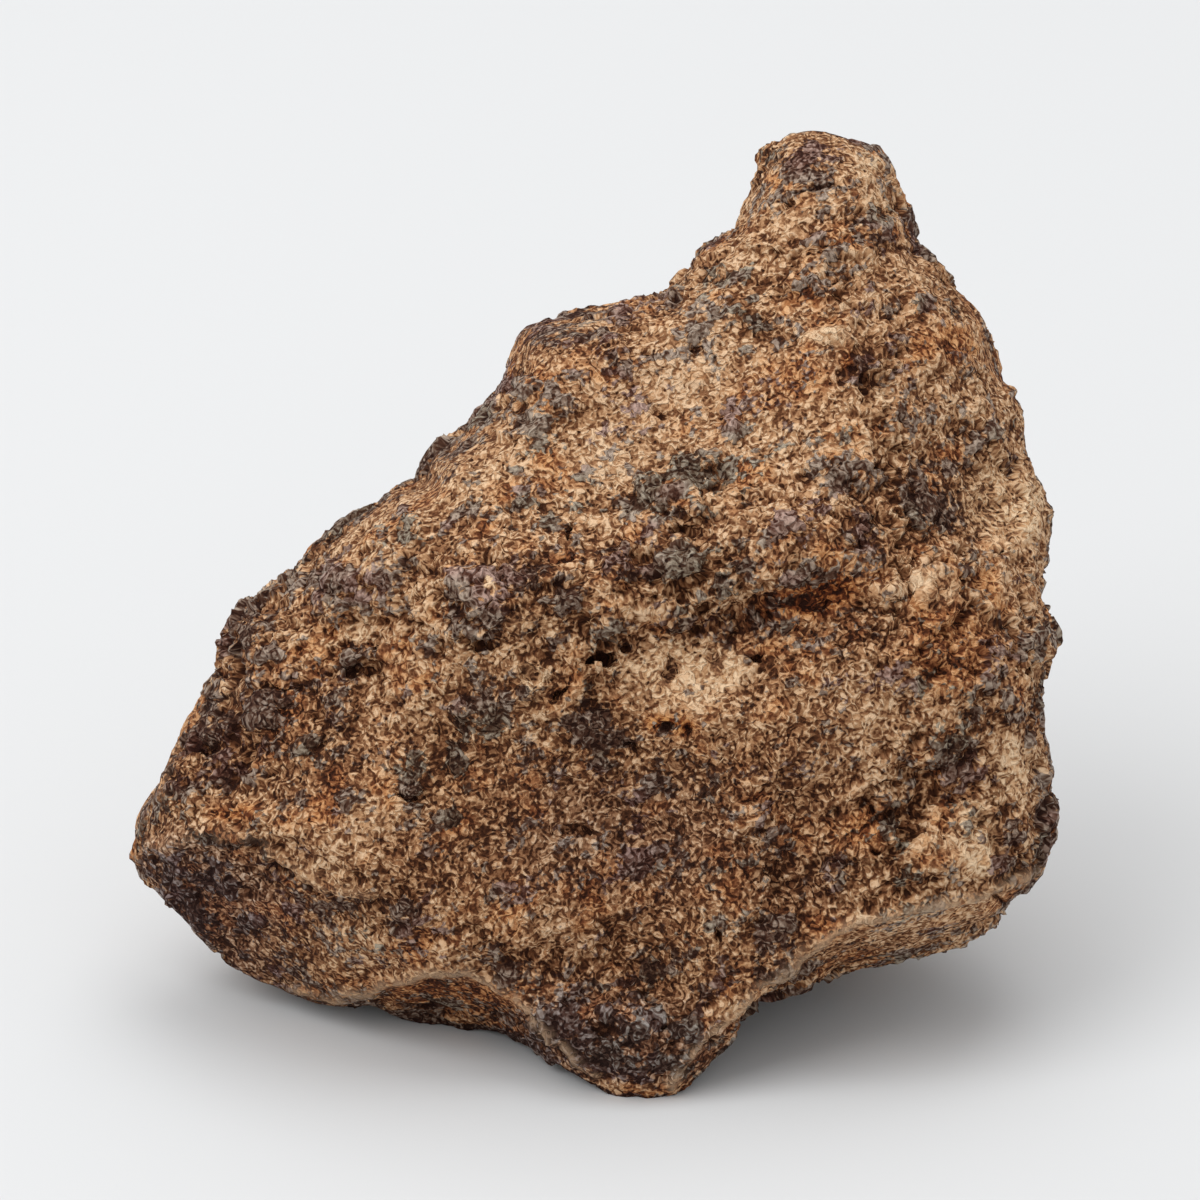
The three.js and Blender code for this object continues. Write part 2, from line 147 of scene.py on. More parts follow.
# Lumps on the broad face, topped with crust: across, up, reach across, reach up, turn, height.
KNOBS = [
    (7.1, 17.2, 0.87, 0.35, 0, 0.25), (9.1, 18.0, 0.52, 0.43, 0, 0.20), (5.2, 17.1, 0.78, 0.30, 10, 0.25),
    (2.3, 16.5, 0.39, 0.30, 0, 0.30), (7.6, 15.1, 0.57, 0.39, 0, 0.30), (7.9, 14.2, 0.39, 0.35, 0, 0.35),
    (6.0, 15.5, 0.35, 0.35, 0, 0.25), (-1.2, 12.2, 0.39, 0.96, 35, 0.30),
    (-2.0, 13.2, 0.52, 0.35, -20, 0.25), (1.7, 13.2, 0.65, 0.43, 15, 0.35),
    (-5.0, 10.9, 0.70, 0.52, 0, 0.50), (-5.9, 9.7, 0.39, 0.35, 0, 0.30), (-5.4, 9.0, 1.13, 0.35, 12, 0.35),
    (-3.5, 9.9, 0.61, 0.48, 0, 0.30), (9.4, 11.7, 0.61, 0.52, 0, 0.40), (3.8, 9.2, 0.48, 0.39, -30, 0.35),
    (2.0, 9.5, 0.39, 0.96, 0, 0.15), (2.5, 7.7, 0.70, 0.57, 0, 0.30), (-0.2, 6.6, 0.52, 0.87, -20, 0.45),
    (1.3, 5.8, 1.48, 0.39, -12, 0.45), (-10.1, 5.1, 0.87, 0.35, -15, 0.40),
    (-10.2, 4.4, 0.43, 0.30, 0, 0.30), (-7.5, 2.3, 1.13, 0.87, -10, 0.40),
    (-7.5, 0.8, 1.30, 0.65, 10, 0.30), (-5.8, 2.8, 0.48, 0.43, 0, 0.35), (-4.5, 2.7, 0.43, 0.39, 0, 0.30),
    (-1.3, 3.2, 0.87, 0.65, 0, 0.30), (1.3, 3.2, 1.13, 0.74, 15, 0.50), (1.1, 1.1, 0.96, 0.74, 0, 0.35),
    (-2.3, 0.7, 0.61, 0.96, 0, 0.30), (-5.2, -2.1, 1.30, 0.35, 20, 0.35),
    (-2.0, -3.5, 1.04, 0.35, -32, 0.40), (-7.7, -3.0, 1.30, 0.52, 8, 0.35),
    (-7.9, -4.0, 1.13, 0.39, -15, 0.30), (5.8, -1.8, 0.48, 0.43, 0, 0.30), (6.2, 2.9, 0.78, 0.35, 10, 0.40),
    (10.0, 2.2, 0.57, 0.39, 10, 0.40), (8.7, 4.7, 0.65, 0.43, 20, 0.30), (6.0, 4.9, 0.87, 0.48, 10, 0.25),
    (9.0, 5.5, 0.61, 0.30, 0, 0.25), (13.4, 3.1, 0.48, 0.48, 0, 0.35), (17.0, 0.0, 0.74, 0.83, 0, 0.50),
    (15.1, 0.0, 0.57, 0.70, 0, 0.30), (15.8, 11.0, 0.39, 0.39, 0, 0.30), (17.6, 5.8, 0.30, 0.52, 0, 0.30),
    (13.3, -5.6, 1.22, 1.04, -20, 0.25), (15.7, -3.1, 0.52, 0.87, 0, 0.20),
    (15.8, -8.1, 0.65, 0.52, 0, 0.30), (10.5, -8.3, 0.48, 0.70, 0, 0.25), (5.8, -8.3, 0.61, 0.48, 0, 0.30),
    (7.7, -10.2, 0.87, 0.65, -30, 0.35), (5.4, -12.4, 0.96, 0.87, 0, 0.30),
    (5.6, -13.9, 0.78, 1.04, 0, 0.35), (15.0, -9.7, 0.74, 0.52, 20, 0.30),
    (12.2, -9.7, 0.57, 0.48, 0, 0.30), (13.5, -8.2, 0.43, 0.39, 0, 0.25), (14.3, -8.3, 0.30, 0.39, 0, 0.20),
    (13.7, -7.5, 0.30, 0.22, 0, 0.20), (-17.3, 0.4, 0.74, 0.70, 0, 0.35),
    (-16.6, -0.8, 0.61, 0.35, 10, 0.30), (-16.6, -3.5, 0.83, 0.52, -10, 0.40),
    (-15.1, -4.5, 0.57, 0.48, 0, 0.35), (-13.5, -3.1, 0.83, 0.65, 0, 0.40),
    (-12.0, -0.7, 1.17, 0.43, 10, 0.60), (-18.8, -4.0, 0.87, 0.61, 20, 0.50),
    (-20.2, -5.8, 0.61, 1.13, -10, 0.30), (-10.1, -6.4, 0.43, 0.30, 30, 0.40),
    (-9.0, -7.4, 0.43, 0.52, 0, 0.25), (-10.3, -11.7, 0.83, 0.61, -20, 0.40),
    (-3.9, -16.4, 1.13, 0.70, 0, 0.35), (-0.8, -16.3, 1.30, 0.70, 0, 0.35),
    (1.7, -16.6, 0.78, 0.61, 20, 0.30), (-5.6, -14.4, 1.13, 0.61, 0, 0.20),
    (-0.5, -6.2, 1.48, 0.39, 12, 0.35), (-1.7, -5.1, 0.70, 0.30, -15, 0.25),
    (-0.5, -9.8, 0.70, 0.78, 0, 0.20), (-8.2, -5.3, 0.52, 0.43, 0, 0.20),
    (-12.9, -6.8, 0.70, 0.52, 0, 0.15), (-16.5, -2.6, 1.30, 0.35, 0, 0.30),
    (-18.6, -2.2, 0.78, 0.35, 10, 0.30), (-13.8, 1.4, 0.61, 0.96, 30, 0.30),
    (-13.4, 2.8, 1.30, 0.35, 12, 0.30), (11.6, 5.8, 0.52, 1.13, 0, 0.25), (12.9, 6.9, 1.13, 0.39, 0, 0.20),
    (14.3, 8.7, 0.96, 0.39, 15, 0.20), (10.9, 6.5, 0.26, 1.30, 0, 0.35), (4.7, 13.7, 0.70, 0.39, 0, 0.25),
    (3.8, 3.4, 0.52, 0.35, 0, 0.20), (-3.9, 1.7, 0.87, 0.39, 20, 0.25),
]
# Pits and cracks in it: across, up, reach across, reach up, turn, and depth as a height below 0.
HOLLOWS = [
    (5.9, 19.0, 0.35, 0.22, 0, -0.50), (1.8, 12.4, 0.35, 0.22, 0, -0.40), (0.0, 12.6, 0.39, 0.22, 0, -0.40),
    (0.2, 9.9, 0.52, 0.17, -20, -0.35), (-3.4, 4.7, 0.11, 0.43, 0, -0.90),
    (-3.2, 4.3, 0.30, 0.13, 0, -0.40), (-3.9, 3.4, 0.70, 0.30, -20, -0.25),
    (1.7, 4.6, 0.87, 0.26, 0, -0.35), (-2.0, -0.9, 0.52, 0.20, 0, -1.00),
    (-1.1, -0.2, 0.17, 0.22, 0, -0.50), (0.2, -0.5, 0.13, 0.13, 0, -0.40),
    (-3.9, -2.2, 0.48, 0.14, 35, -0.90), (0.9, -1.2, 0.26, 0.52, 0, -0.50),
    (0.6, -3.6, 0.35, 0.26, 0, -0.50), (1.5, -3.6, 0.30, 0.26, 0, -0.50),
    (4.7, -0.8, 0.57, 0.26, -10, -0.50), (8.4, 11.4, 0.61, 0.30, 0, -0.30),
    (9.3, 10.9, 0.30, 0.52, 0, -0.40), (10.1, 11.7, 0.17, 0.17, 0, -0.35),
    (14.8, 3.8, 0.35, 0.22, 0, -0.70), (11.8, 3.2, 0.39, 0.26, 0, -0.50), (10.9, 1.9, 0.61, 0.17, 8, -0.30),
    (6.9, 1.7, 1.74, 0.52, 10, -0.30), (-10.4, -6.7, 0.39, 0.13, 0, -0.40),
    (-19.5, -4.9, 0.70, 0.22, 0, -0.50), (-12.5, -1.4, 0.87, 0.17, 6, -0.40),
    (3.1, -12.8, 0.13, 0.43, -10, -0.60), (-10.3, -12.2, 0.52, 0.17, -20, -0.35),
    (8.7, 0.0, 0.87, 0.26, 0, -0.30), (4.2, -6.6, 0.61, 0.22, 0, -0.30),
    (-3.2, -8.1, 0.70, 0.26, -10, -0.40), (2.1, 1.2, 0.43, 0.17, 0, -0.35),
    (-7.0, -0.2, 0.87, 0.17, 10, -0.35), (-5.2, 3.4, 0.35, 0.17, 20, -0.35),
    (-0.9, -4.5, 0.61, 0.13, -30, -0.40), (15.5, -11.2, 0.96, 0.17, -14, -0.35),
    (12.2, 5.2, 0.87, 0.17, 0, -0.30), (-16.0, -2.1, 0.87, 0.17, 0, -0.40),
    (-14.2, -4.5, 0.26, 0.35, 0, -0.30), (-18.1, -8.6, 1.74, 0.22, 2, -0.35),
    (-15.1, -10.3, 1.30, 0.17, -32, -0.35), (16.3, -1.7, 0.17, 0.61, 0, -0.35),
    (15.6, -1.2, 0.13, 0.70, 0, -0.30), (4.0, 18.9, 0.26, 0.17, 0, -0.25),
    (7.0, 19.6, 1.30, 0.13, 0, -0.30), (-9.6, -16.0, 0.87, 0.22, 0, -0.40),
]
# Round chondrules that stand out as a low ring: across, up, radius, height.
RINGS = [
    (12.2, 1.7, 0.87, 0.30), (-5.2, -1.5, 0.39, 0.30), (10.1, 11.8, 0.39, 0.30), (5.9, -5.5, 0.96, 0.20),
]
# Raised edges: the line they follow, then half their width, their height and how strongly a light tan line
# runs along them.
EDGES = [
    # The toe edge.
    ([(0.8, -19.2), (2.1, -17.3), (3.8, -15.9), (4.8, -14.9), (6.4, -13.7), (7.8, -12.4), (9.0, -11.9),
      (10.7, -11.6), (12.4, -11.2), (13.9, -11.1), (15.0, -10.6), (16.7, -9.9)], 0.15, 0.25, 1.0),
    # The notch edge.
    ([(-15.7, -15.0), (-13.9, -15.2), (-12.4, -15.0), (-10.8, -14.6), (-9.5, -14.2), (-7.8, -14.3),
      (-6.5, -14.9), (-5.2, -15.7), (-3.8, -17.2), (-3.3, -18.1), (-2.2, -18.7)], 0.15, 0.22, 1.0),
    # The ledge.
    ([(10.3, 2.1), (11.2, 2.6), (12.0, 2.9), (12.8, 2.8)], 0.17, 0.4, 0.2),
    # The crest.
    ([(7.3, 13.0), (7.8, 13.2), (8.5, 13.0), (8.9, 12.7)], 0.17, 0.3, 0.2),
    # The left foot edge.
    ([(-21.7, -9.0), (-19.4, -8.5), (-17.0, -8.4), (-15.5, -9.7), (-13.8, -10.5),
      (-11.9, -10.8)], 0.22, 0.3, 0.2),
    # The left strip.
    ([(-18.9, -2.2), (-20.4, -4.3), (-21.0, -6.9)], 0.17, 0.3, 0.2),
]
# Patches of dark crust: across, up, reach across, reach up, turn, strength.
CRUST_PATCHES = [
    (6.7, 20.9, 1.48, 0.87, 0, 0.80), (7.0, 19.6, 1.30, 0.17, 0, 0.60), (9.3, 18.3, 0.61, 0.35, 0, 0.60),
    (7.8, 16.9, 0.96, 0.61, 0, 0.50), (9.7, 17.3, 1.09, 0.35, 0, 0.60), (9.6, 14.0, 0.87, 0.65, 0, 0.60),
    (7.1, 15.1, 1.22, 0.43, 0, 0.50), (-1.7, 12.5, 0.70, 0.96, 35, 0.60), (0.6, 12.4, 1.22, 0.43, 0, 0.50),
    (5.6, 12.7, 0.43, 0.35, 0, 0.60), (2.3, 16.3, 0.39, 0.30, 0, 0.50), (3.7, 15.9, 0.39, 0.30, 0, 0.50),
    (-3.5, 11.5, 0.87, 0.22, 0, 0.50), (-4.5, 10.9, 0.65, 0.65, 0, 0.90), (-5.6, 9.5, 0.52, 0.61, 0, 0.80),
    (1.7, 9.7, 0.35, 0.78, 0, 0.50), (2.1, 7.3, 1.74, 0.96, 0, 0.55), (8.5, 7.1, 1.48, 0.78, 0, 0.50),
    (-4.1, 13.4, 1.96, 0.52, 0, 0.70), (-6.2, 11.6, 0.35, 1.13, 0, 0.80), (-7.4, 9.6, 0.52, 0.35, 0, 0.80),
    (-10.3, 5.1, 0.61, 0.43, 0, 0.90), (-5.2, 2.9, 0.96, 0.70, 0, 0.75), (-7.6, 2.3, 0.87, 0.61, 0, 0.85),
    (-7.4, 0.9, 1.13, 0.87, 0, 0.60), (-0.1, 3.0, 1.91, 0.35, 8, 0.75), (1.4, 3.1, 0.78, 0.61, 0, 0.90),
    (1.0, 1.0, 0.70, 0.87, 0, 0.80), (-1.7, 0.7, 0.43, 0.70, 0, 0.70), (-1.2, 5.8, 0.78, 0.35, 0, 0.60),
    (1.5, 5.5, 1.48, 0.52, 0, 0.80), (6.9, 2.7, 1.30, 0.35, 0, 0.80), (5.3, 1.0, 1.13, 0.87, 0, 0.65),
    (5.7, -1.7, 0.43, 0.39, 0, 0.80), (-2.5, -3.5, 1.48, 0.96, -35, 0.90), (0.4, -6.2, 0.96, 0.30, 0, 0.60),
    (-2.0, -5.2, 0.70, 0.35, 0, 0.70), (12.4, 6.4, 1.65, 1.57, 0, 0.85), (14.6, -0.4, 0.39, 0.52, 0, 0.70),
    (17.3, -0.2, 0.52, 0.61, 0, 0.80), (13.7, -5.6, 1.04, 0.87, 0, 0.50), (11.3, -6.4, 0.52, 0.52, 0, 0.70),
    (11.5, -10.0, 0.96, 0.61, 0, 0.60), (7.9, -9.9, 0.78, 0.78, 0, 0.75), (5.5, -8.8, 0.61, 0.43, 0, 0.60),
    (5.2, -13.4, 0.96, 1.48, 0, 0.70), (-13.6, 2.6, 0.87, 0.43, 0, 0.80), (-11.8, 2.8, 0.61, 0.26, 0, 0.70),
    (-16.1, 2.3, 1.39, 0.43, 10, 0.80), (-17.3, -0.2, 0.52, 0.78, 0, 0.85),
    (-16.4, -0.7, 0.52, 0.35, 0, 0.80), (-12.1, -0.5, 1.04, 0.57, 0, 0.95),
    (-18.6, -3.7, 0.78, 0.78, 0, 0.80), (-19.7, -4.5, 0.39, 0.39, 0, 0.90),
    (-16.6, -3.6, 0.70, 0.43, 0, 0.85), (-15.2, -4.4, 0.52, 0.43, 0, 0.80),
    (-13.3, -3.0, 0.61, 0.52, 0, 0.70), (-18.4, -5.6, 1.13, 0.78, 0, 0.50),
    (-20.0, -5.8, 0.39, 0.78, 0, 0.70), (-18.5, -8.6, 1.30, 0.30, 0, 0.85),
    (-19.5, -10.0, 2.17, 0.96, -14, 0.60), (-17.2, -12.6, 0.78, 0.70, 0, 0.70),
    (-14.9, -12.3, 1.13, 1.13, 0, 0.45), (-10.5, -11.8, 0.96, 0.78, 0, 0.60),
    (-10.3, -6.4, 0.39, 0.35, 0, 0.80), (-9.0, -7.5, 0.43, 0.39, 0, 0.60),
    (-8.4, -5.1, 0.43, 0.39, 0, 0.60), (-7.5, -3.5, 1.22, 1.04, 0, 0.75), (-0.7, -9.8, 0.78, 0.96, 0, 0.50),
    (-3.9, -16.3, 0.87, 0.70, 0, 0.80), (-2.8, -16.9, 0.61, 0.52, 0, 0.80),
    (-0.2, -16.5, 0.70, 0.52, 0, 0.80), (1.7, -16.6, 0.61, 0.70, 0, 0.85),
    (-0.5, -18.4, 1.91, 0.70, 0, 0.80), (-13.3, -15.7, 1.13, 0.22, 0, 0.80),
    (-10.0, -16.4, 1.74, 0.35, 0, 0.60), (-21.3, -10.0, 1.30, 1.74, 0, 0.50),
    (-20.1, -12.0, 1.57, 1.30, -30, 0.55), (-17.9, -14.2, 2.00, 0.70, -25, 0.50),
    (-21.8, -7.0, 0.61, 1.30, 0, 0.40), (-1.7, -17.8, 2.61, 0.87, -10, 0.60),
    (-3.9, -17.2, 1.30, 1.13, 0, 0.50), (10.1, -14.3, 3.91, 0.43, 8, 0.50),
    (17.0, -8.6, 0.43, 1.74, 0, 0.50), (16.2, -11.8, 0.96, 0.78, 0, 0.50),
    (17.3, -3.9, 0.39, 1.74, 0, 0.45), (-6.5, 12.7, 0.43, 1.74, 0, 0.60), (-8.7, 8.2, 0.35, 0.61, 0, 0.50),
    (-15.3, -15.7, 2.61, 0.39, 0, 0.50),
]
KNOB_SHARE, KNOB_CRUST = 0.85, 0.65
HOLLOW_SHARE = 0.75
relief = np.zeros(len(places))
crust = patches(CRUST_PATCHES, facing)
for *shape, height in KNOBS:
    away = nearness(shape)
    relief += KNOB_SHARE * height * smooth_step(1.25, 0.45, away)
    crust = np.maximum(crust, KNOB_CRUST * smooth_step(1.3, 0.7, away) * facing)
# Each pit is also kept as a mask for painted shade in the finish.
pit_painted_shade = np.zeros(len(places))
for *shape, height in HOLLOWS:
    away = nearness(shape)
    relief += HOLLOW_SHARE * height * smooth_step(1.2, 0.4, away)
    pit_painted_shade = np.maximum(pit_painted_shade, -height * smooth_step(1.3, 0.5, away) * facing)
for middle_across, middle_up, radius, height in RINGS:
    away = np.hypot(ragged_across - middle_across, ragged_up - middle_up)
    relief += height * np.exp(-(((away - radius) / (0.3 * radius)) ** 2))
light_edge_line = np.zeros(len(places))
for points, width, height, line_strength in EDGES:
    away = line_distance(points, across + 0.4 * ragged[:, 0], up + 0.4 * ragged[:, 1])
    relief += height * np.exp(-((away / (1.6 * width)) ** 2))
    light_edge_line = np.maximum(light_edge_line, line_strength * np.exp(-((away / width) ** 2)) * facing)
relief *= facing

# Round the back it broke the same way, into shallow steps and hollows, shallower towards the rim.
broad = wander(4.2, 4.4)
small = wander(1.9, 5.8)
back = 0.5 * broad[:, 0] + 0.30 * smooth_step(-0.04, 0.10, broad[:, 1] + 0.3 * small[:, 1]) - 0.15
back -= 0.55 * smooth_step(0.28, 0.55, small[:, 0]) * smooth_step(-0.2, 0.2, broad[:, 2])
back += 0.30 * smooth_step(0.25, 0.45, small[:, 2])
relief += far_side * back * (0.3 + 0.7 * smooth_step(0.0, -0.45, outward))
places += normals * (relief * MM)[:, None]

# Under the lip the stone is drawn in, and its left foot hangs lower: across, up, reach, lift.
NUDGES = ((5.6, -17.2, 2.0, 0.95), (-13.7, -16.2, 1.8, -0.4))
face_up = np.array((0, math.sin(LEAN), math.cos(LEAN)))
for middle_across, middle_up, reach, lift in NUDGES:
    away_squared = (across - middle_across) ** 2 + (up - middle_up) ** 2
    places += face_up * (lift * MM * np.exp(-away_squared / reach ** 2))[:, None]
mesh.vertices.foreach_set("co", places.astype(np.float32).ravel())
mesh.update()

# How far each point stands out of its surroundings: the edges that do are rubbed smoother.
EDGE_ROUNDS, EDGE_BLUR_ROUNDS = 40, 6
ends = np.empty(len(mesh.edges) * 2, np.int32)
mesh.edges.foreach_get("vertices", ends)
first, second = ends.reshape(-1, 2).T
neighbours = np.bincount(ends, minlength=len(places))


def averaged(values, rounds):
    """The values smoothed over the skin, each with its neighbours', for some rounds."""
    for _ in range(rounds):
        values = np.stack([
            (np.bincount(first, column[second], len(places))
             + np.bincount(second, column[first], len(places)) + column) / (neighbours + 1)
            for column in values.T
        ], axis=1)
    return values


stand_out = ((places - averaged(places, EDGE_ROUNDS)) * normals_of(mesh)).sum(axis=1) / MM
edge = smooth_step(0.015, 0.09, averaged(stand_out[:, None], EDGE_BLUR_ROUNDS)[:, 0])

# Pale mineral dust, rust stains and smoothly worn parts, placed the way the crust is.
PALE_PATCHES = [
    (9.4, 20.7, 0.52, 0.61, 0, 0.80), (6.8, 18.7, 0.35, 0.26, 0, 0.60), (9.6, 19.3, 0.78, 0.22, 0, 0.60),
    (7.6, 13.0, 1.04, 0.35, 0, 0.80), (9.9, 10.3, 0.52, 0.22, 0, 0.80), (-2.2, 11.9, 0.52, 0.17, 0, 0.70),
    (-0.9, 8.0, 1.48, 1.13, 0, 0.25), (-7.8, 6.9, 1.74, 0.96, 0, 0.30), (-2.5, 3.1, 0.30, 0.30, 0, 0.70),
    (-6.8, 2.1, 0.26, 0.30, 0, 0.90), (-5.4, 0.7, 0.61, 0.43, 0, 0.50), (-1.8, 2.3, 0.43, 0.35, 0, 0.50),
    (1.7, -1.3, 2.70, 1.30, 0, 0.75), (2.7, -1.3, 1.22, 0.87, 0, 0.90), (-5.2, -1.5, 0.52, 0.52, 0, 0.80),
    (15.5, 5.8, 1.91, 1.83, 0, 1.00), (11.0, 2.4, 1.13, 0.35, 10, 0.70), (12.2, 2.0, 0.96, 0.61, 0, 0.40),
    (15.8, -5.4, 0.87, 1.13, 0, 0.70), (13.9, -8.6, 1.22, 1.74, 10, 0.85),
    (14.2, -9.6, 0.78, 0.61, 0, 1.00), (8.8, -11.7, 0.22, 0.22, 0, 1.00), (-12.3, 0.4, 0.61, 0.43, 0, 0.70),
    (-18.3, -2.2, 0.61, 0.43, 0, 0.70), (-18.9, -3.7, 0.61, 0.22, 0, 0.50),
    (-13.8, -4.5, 0.52, 0.43, 0, 0.50), (-14.2, -9.8, 1.22, 0.43, 0, 0.50),
    (1.3, -6.3, 0.17, 0.52, 25, 0.70),
]
RUST_PATCHES = [
    (1.7, -1.2, 2.61, 1.22, 0, 0.25), (6.9, 1.8, 2.43, 0.96, 10, 0.90), (6.7, 18.8, 0.43, 0.26, 0, 0.80),
    (8.5, 12.0, 0.43, 0.57, 0, 0.90), (6.4, 11.2, 1.30, 0.87, 0, 0.60), (3.8, 9.4, 0.43, 0.35, 0, 0.80),
    (9.8, 9.0, 0.52, 0.43, 0, 0.50), (-3.7, 3.4, 0.70, 0.35, 0, 0.60), (-1.5, 2.5, 0.52, 0.35, 0, 0.70),
    (7.6, 2.3, 1.04, 0.61, 0, 1.00), (8.5, 3.4, 1.74, 0.61, 0, 0.50), (0.9, -3.4, 1.13, 0.43, 0, 1.00),
    (14.6, 4.3, 0.61, 0.43, 0, 0.80), (11.7, 0.9, 0.52, 0.26, 0, 0.80), (12.8, -0.4, 2.17, 2.09, 0, 0.60),
    (12.4, -5.1, 0.61, 0.61, 0, 0.80), (9.3, -8.0, 1.04, 1.04, 0, 0.70), (7.6, -12.2, 1.04, 0.65, 0, 0.70),
    (-13.4, 0.7, 0.35, 0.65, 0, 0.70), (-18.1, -7.4, 1.30, 0.52, 0, 0.80),
    (-18.8, -12.2, 0.78, 0.87, 0, 0.60), (-2.8, -12.2, 0.43, 0.35, 0, 0.60),
    (-1.3, -14.8, 0.43, 0.35, 0, 0.60), (3.6, -14.8, 0.43, 0.35, 0, 0.60),
    (-8.7, -15.4, 3.48, 0.96, -6, 0.70),
]
SMOOTH_PATCHES = [
    (9.4, -12.7, 5.22, 0.87, 14, 0.90), (-9.6, -15.6, 4.78, 0.61, 0, 0.60),
    (12.4, 6.4, 1.74, 1.57, 0, 0.90), (-4.1, 13.4, 1.91, 0.61, 0, 0.60), (6.7, 21.0, 1.48, 0.87, 0, 0.60),
    (-2.6, -3.5, 1.48, 0.87, -35, 0.80), (-0.5, -18.4, 1.83, 0.70, 0, 0.60),
    (-18.4, -5.6, 1.13, 0.78, 0, 0.60), (-19.5, -9.9, 2.00, 0.87, -14, 0.40),
    (15.8, -5.4, 0.78, 1.04, 0, 0.50),
]
pale = patches(PALE_PATCHES, facing)
rust = patches(RUST_PATCHES, facing)
calm = patches(SMOOTH_PATCHES, smooth_step(-0.7, -0.3, outward))

# Crust also covers much of the back, runs along the rim, and is thick on the feet and thin where pale.
foot = rim * smooth_step(-13, -17, up)
crust += far_side * (0.2 + 0.8 * wander(5.0, 6.6)[:, 0] + 0.7 * wander(2.3, 6.1)[:, 0])
crust += 0.65 * rim * (0.4 + 1.3 * wander(2.2, 7.7)[:, 0])
crust += 1.1 * foot
crust -= 0.55 * pale

# Broad parts painted lighter, above 0, or darker, below 0, partly as more or less dust and partly as
# painted light on the upper face and painted shade on the lower face, toe and feet: across, up, reach
# across, reach up, turn, tone.
BROAD_TONES = [
    (-0.5, 8.6, 7.4, 3.9, 20, 0.85), (7.8, 17.8, 3.0, 3.9, 0, 0.45), (9.9, 10.8, 3.0, 2.6, 0, 0.35),
    (2.1, -1.7, 3.5, 1.7, 0, 0.35), (-10.7, 2.2, 3.9, 1.7, 10, 0.80), (-13.7, -6.8, 5.7, 2.2, 0, 0.10),
    (-1.3, -8.1, 10.4, 4.8, 0, -0.65), (-3.9, -13.7, 6.5, 2.6, 0, -0.25), (-0.5, -17.3, 5.2, 2.2, 0, -0.90),
    (-18.7, -10.8, 4.8, 2.6, -20, -0.55), (12.0, -11.6, 5.2, 1.7, 0, 0.10), (5.9, 0.9, 3.9, 1.7, 0, -0.45),
    (-4.7, 1.7, 3.5, 2.2, 0, -0.35), (7.3, -11.1, 3.5, 2.2, 0, -0.30), (-17.3, -2.1, 3.5, 4.8, 0, -0.50),
    (-20.0, -11.3, 3.5, 2.6, -20, -0.85), (-17.0, -14.6, 3.5, 1.0, -20, -0.50),
    (0.0, -18.0, 3.0, 1.3, 0, -0.40), (-3.9, -16.7, 1.7, 1.7, 0, -0.50), (13.3, 6.1, 2.6, 2.2, 0, -0.20),
    (-4.3, 12.8, 2.6, 1.1, 0, -0.50), (6.5, 20.9, 2.2, 1.3, 0, -0.45), (-13.3, 1.7, 2.6, 0.9, 10, -0.30),
    (12.1, -13.0, 4.8, 1.3, 8, 0.10),
]
# Parts that are more rugged, above 0, or less: across, up, reach across, reach up, turn, ruggedness.
RUGGED_PARTS = [
    (-6.4, 1.3, 5.7, 2.2, 12, 0.80), (3.8, 1.7, 5.2, 2.6, 0, 0.90), (12.4, 0.0, 3.9, 5.2, 0, 0.90),
    (-16.0, 0.0, 3.5, 2.6, 20, 0.70), (13.3, -8.5, 3.9, 3.0, 0, 0.70), (7.8, 16.9, 3.0, 2.2, 0, 0.40),
    (9.0, 11.6, 2.6, 1.7, 0, 0.50), (-4.8, 10.4, 2.2, 1.3, 20, 0.50), (1.7, 6.0, 2.6, 1.1, 10, 0.60),
    (-17.7, -3.9, 2.6, 2.2, 0, 0.80), (-0.5, -16.3, 4.8, 1.7, 0, 0.60), (5.5, -12.4, 2.6, 2.6, 0, 0.60),
    (-10.7, -11.5, 2.2, 1.3, 0, 0.40), (-6.5, 7.8, 4.8, 2.2, 25, -0.50),
    (-12.0, -5.1, 5.2, 2.6, -10, -0.60), (-2.2, -9.4, 7.4, 4.8, 0, -0.50), (1.7, -1.3, 2.6, 1.1, 0, -0.30),
    (10.7, -12.5, 6.5, 1.3, 8, -0.70), (0.0, 9.1, 6.1, 3.5, 25, -0.40),
]
dust_and_painted_light = np.zeros(len(places))
for *shape, share in BROAD_TONES:
    dust_and_painted_light += share * np.exp(-nearness(shape) ** 2) * facing
dust_and_painted_light -= 0.5 * foot
rugged = 0.45 + 0.35 * far_side + 0.1 * rim
for *shape, share in RUGGED_PARTS:
    rugged += share * np.exp(-nearness(shape) ** 2) * facing
rugged = np.clip(rugged + 0.9 * wander(4.5, 2.2)[:, 0], 0.1, 1.3)


def keep_value(name, value):
    kept_values = mesh.attributes.new(name, "FLOAT", "POINT")
    kept_values.data.foreach_set("value", value.astype(np.float32))


def keep_place(name, place):
    kept_places = mesh.attributes.new(name, "FLOAT_VECTOR", "POINT")
    kept_places.data.foreach_set("vector", place.astype(np.float32).ravel())


for name, value in (
    ("rugged", rugged), ("crust", crust), ("pale", pale), ("rust", rust), ("calm", calm),
    ("pit_painted_shade", pit_painted_shade), ("light_edge_line", light_edge_line), ("edge", edge), ("dust_and_painted_light", dust_and_painted_light),
):
    keep_value(name, value)

# The stone's grain runs up to the right across the broad face, and what it breaks into is drawn out.
GRAIN_TURN = math.radians(24)
GRAIN_ALONG, GRAIN_ASTRIDE = 0.85, 1.05
across, up, out = face_frame(places / MM)
along = (across * math.cos(GRAIN_TURN) + up * math.sin(GRAIN_TURN)) * GRAIN_ALONG
astride = (up * math.cos(GRAIN_TURN) - across * math.sin(GRAIN_TURN)) * GRAIN_ASTRIDE
keep_place("laid", places / MM)
keep_place("strata", np.stack((along, astride, out), axis=1))


